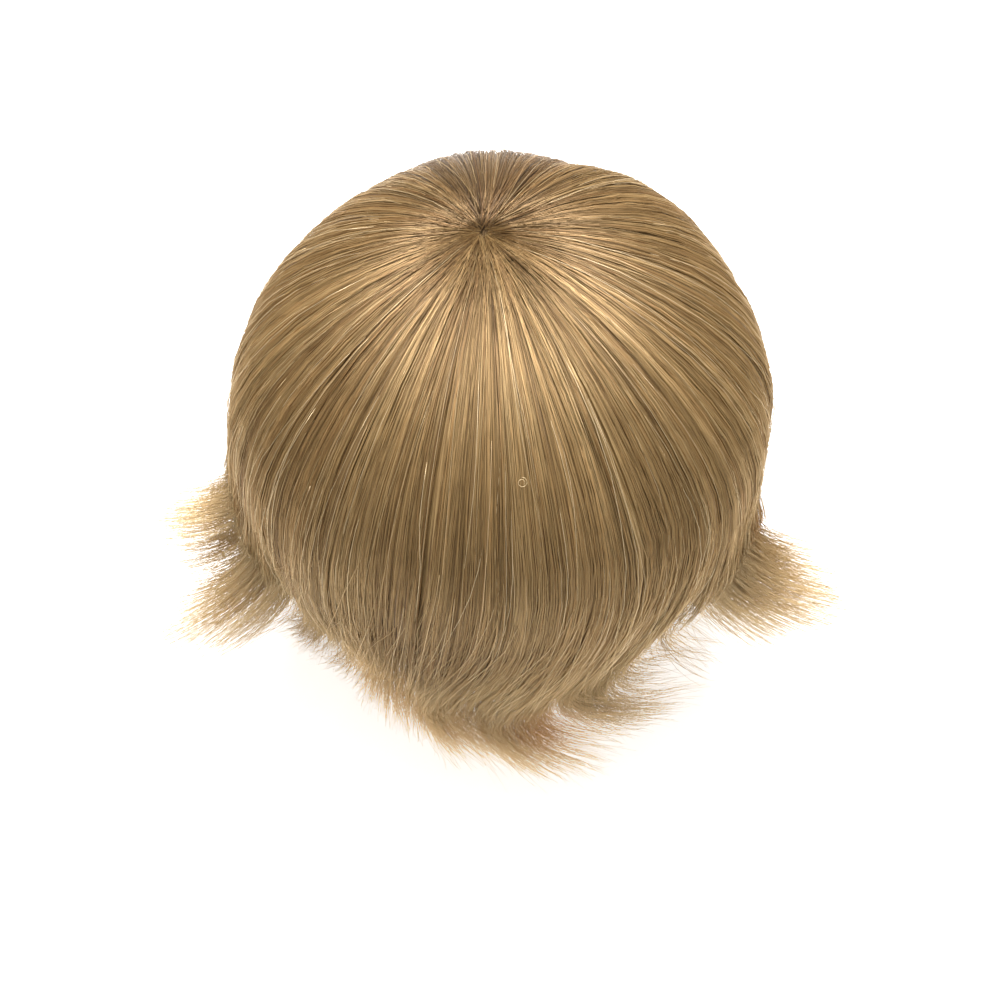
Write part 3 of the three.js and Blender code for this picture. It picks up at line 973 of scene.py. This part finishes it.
for number, (name, start, end, fill, inner_fill, fan) in enumerate(LOCKS):
    rng = np.random.default_rng(100 + number)
    arc = np.radians(end - start) * reach(np.array((start + end) / 2), HAIR)
    kinds = [
        surface_hair(rng, int(PER_MM * arc * fill), start, end, fan),
        inner_hair(rng, int(INNER_PER_MM * arc * inner_fill), start, end, fan),
    ]
    ends = loose_ends(rng, int(ENDS_PER_MM * arc), start, end, fan)
    lock = lay_strands(name + "_strands", kinds, ends)
    lock.data.materials.append(strand_material)
    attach(lock, "root")
    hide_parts(name)
    triangles[lock.name] = triangle_count(lock)
print("largest strand piece:", max(triangles.values()), "all so far:", sum(triangles.values()))

# %% [markdown]
# ## Flyaways
#
# A few hundred fine pale hairs lift off the surface, cross their neighbours and blur the outline.
# Some are bolder and stray further, and their paleness is partly a painted glint. One has curled
# up. They are their own piece, with evenly spaced points, because they don't follow the mass.

# %% Flyaways
FLYAWAYS, FLYAWAY_POINTS, BOLD = 480, 9, 0.3
rng = np.random.default_rng(7)
stray = random_hair(rng, FLYAWAYS, LOCKS[0][1], LOCKS[0][1] + 360, 0.0)
starts, ends = (np.array([lock[k] for lock in LOCKS]) % 360 for k in (1, 2))
starts[0] -= 360
home = np.searchsorted(starts, stray["angle"], side="right") - 1
stray["from"], stray["to"] = starts[home] + MARGIN, ends[home] - MARGIN
stray["root"] = rng.uniform(0.02, 0.62, FLYAWAYS)
stray["tip"] = (stray["root"] + rng.uniform(0.15, 0.6, FLYAWAYS)).clip(0.2, 1.03)
stray["depth"] = -rng.exponential(0.7, FLYAWAYS).clip(0.2, 3.0) - 0.3
stray["loose"] = np.ones(FLYAWAYS)
stray["flare"] *= 0.4
stray["wander"] = np.abs(rng.normal(0, 2.4, FLYAWAYS))
stray["tone"] = rng.uniform(0.2, 0.6, FLYAWAYS)
stray["wear_and_light"] = rng.uniform(0.3, 1.0, FLYAWAYS)
stray["radius"] = rng.uniform(0.06, 0.11, FLYAWAYS)
bold_glinting = rng.random(FLYAWAYS) < BOLD
# The bold ones are pale partly as painted glints
stray["tone"][bold_glinting], stray["wear_and_light"][bold_glinting], stray["radius"][bold_glinting] = 0.5, 1.0, 0.10
stray["root"][bold_glinting] = rng.uniform(0.3, 0.62, bold_glinting.sum())
stray["tip"][bold_glinting] = (stray["root"][bold_glinting] + rng.uniform(0.15, 0.4, bold_glinting.sum())).clip(0.2, 1.0)
stray["wander"][bold_glinting] *= 1.6
stray["drift"][bold_glinting] *= 3.5


def curled_hair(angle, s, size, points=16):
    """One hair curled up on the surface: a loop of nearly one and a half turns, whose radius in
    mm grows from half of size to size."""
    angle, s = np.array(angle), np.array(s)
    turn = (np.linspace(-0.3, 2.5, points) * np.pi)[:, None]
    wide = (size * np.linspace(0.5, 1, points))[:, None]
    up, side = -inward(angle, s), outline(angle)[1]
    loop = wide * (np.cos(turn) * side + np.sin(turn) * np.cross(up, side))
    line = (outer(angle, s) + loop + up * (0.8 + 0.15 * turn))[None]
    marks = np.broadcast_to([1.0, 1.0, 0.0, 1.0], (1, points, 4))
    return tube_arrays(line, np.broadcast_to(up, line.shape), np.full((1, points), 0.09), marks)


curl = curled_hair(6.3, 0.325, 1.7)
flyaways = join_tubes("flyaways", [evenly(stray, FLYAWAY_POINTS), curl])
flyaways.data.materials.append(strand_material)
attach(flyaways, "root")
triangles[flyaways.name] = triangle_count(flyaways)
print("flyaway triangles:", triangles[flyaways.name], "all so far:", sum(triangles.values()))

# %% [markdown]
# ## The cap
#
# The hair is tied into a thin base moulded to the crown. It shows from below and as a point at
# the whorl. It is two smooth domes a millimetre apart, closed at the edge, with a fine net
# pattern in its material.


# %% Crown cap
def crown_cap():
    """Two domes of rings round the whorl, joined at the edge: the outer with 1 mm added to every
    half axis, the inner without."""
    angle = np.linspace(0, 360, 96, endpoint=False)
    share = np.linspace(0, 1, 19)[1:, None]
    wall = {key: value + 1 for key, value in CAP.items()}
    high, low = on_dome(angle, share, wall), on_dome(angle, share, CAP)
    rings, count = high.shape[:2]
    index = 1 + np.arange(rings * count).reshape(rings, count)
    turned = np.roll(index, -1, axis=1)
    half = 1 + rings * count
    walls = np.stack([index[:-1], index[1:], turned[1:], turned[:-1]], axis=-1).reshape(-1, 4)
    edge = np.stack([index[-1], index[-1] + half, turned[-1] + half, turned[-1]], axis=-1)
    pole = np.stack([np.zeros(count, int), index[0], turned[0]], axis=-1)
    quads = np.concatenate([walls, walls[:, ::-1] + half, edge])
    fans = np.concatenate([pole, pole[:, ::-1] + half])
    corners = np.concatenate([quads.ravel(), fans.ravel()])
    starts = np.concatenate([np.arange(len(quads)) * 4, quads.size + np.arange(len(fans)) * 3])
    tops = [on_dome(np.zeros(1), np.zeros(1), form) for form in (wall, CAP)]
    points = np.concatenate([tops[0], high.reshape(-1, 3), tops[1], low.reshape(-1, 3)])
    return new_mesh("crown_cap", points, corners, starts)


# The width of the net's cells in mm, and the colours of the base's dark and pale parts and threads
NET_CELL = 1.4
BASE_DARK, BASE_PALE = (0.56, 0.42, 0.30, 1), (0.68, 0.55, 0.42, 1)
THREAD_COLOUR = (0.80, 0.70, 0.57, 1)

cap_material, tree, shader = new_material("cap_net")
where = place(tree, "ShaderNodeTexCoord").outputs["Object"]
grid = {"Vector": where, "Scale": 1 / (NET_CELL * MM), "Randomness": 0.0}
cells = place(tree, "ShaderNodeTexVoronoi", grid, feature="DISTANCE_TO_EDGE")
thread = map_range(tree, cells.outputs["Distance"], (0.05, 0.2), (1.0, 0.0))
cloud = place(tree, "ShaderNodeTexNoise", {"Vector": where, "Scale": 40.0, "Detail": 3.0})
skin = mix_colour(tree, cloud.outputs["Fac"], BASE_DARK, BASE_PALE)
tree.links.new(mix_colour(tree, thread, skin, THREAD_COLOUR), shader.inputs["Base Color"])
relief(tree, shader, thread, 0.6, 0.2)
shader.inputs["Roughness"].default_value = 0.8

cap = crown_cap()
cap.data.materials.append(cap_material)
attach(cap, "root")
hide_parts("base_cap")
print("cap box in mm:", [round(side / MM, 1) for side in cap.dimensions])

# %% [markdown]
# ## Floor and light
#
# The photo is lit from high above on plain white, so the crown has a soft band of light and
# the front falls off darker. One large lamp, above the hair and a little behind it, gives the
# band, and an even sky keeps the grooves from going black. The floor is white and glows a little,
# as a lit backdrop does.

# %% Floor and light
FLOOR, FLOOR_HALF, FLOOR_GLOW = -150 * MM, 4, 0.5
SKY = 0.82
LAMP_AT, LAMP_SIZE, LAMP_POWER = (0.0, 0.62, 1.2), 0.75, 45

floor_mesh = bpy.data.meshes.new("floor")
corners = [(x * FLOOR_HALF, y * FLOOR_HALF, FLOOR) for x, y in ((-1, -1), (1, -1), (1, 1), (-1, 1))]
floor_mesh.from_pydata(corners, [], [(0, 1, 2, 3)])
floor = add_object("floor", floor_mesh)
floor_material, _, floor_shader = new_material("white_floor")
floor_shader.inputs["Base Color"].default_value = (0.95, 0.95, 0.95, 1)
floor_shader.inputs["Emission Strength"].default_value = FLOOR_GLOW
floor_shader.inputs["Emission Color"].default_value = (1, 1, 1, 1)
floor_shader.inputs["Roughness"].default_value = 0.9
floor_mesh.materials.append(floor_material)

world = bpy.data.worlds.new("sky")
bpy.context.scene.world = world
world.use_nodes = True
background = world.node_tree.nodes["Background"]
background.inputs["Color"].default_value = (1, 1, 1, 1)
background.inputs["Strength"].default_value = SKY

lamp_data = bpy.data.lights.new("overhead", "AREA")
lamp_data.energy, lamp_data.size = LAMP_POWER, LAMP_SIZE
lamp = add_object("overhead", lamp_data)
lamp.location = LAMP_AT
lamp.rotation_euler = (LOOK_AT - Vector(LAMP_AT)).to_track_quat("-Z", "Y").to_euler()
bpy.context.scene.view_settings.view_transform = "Standard"
print("lamp in m:", LAMP_AT, "floor in mm:", FLOOR / MM)
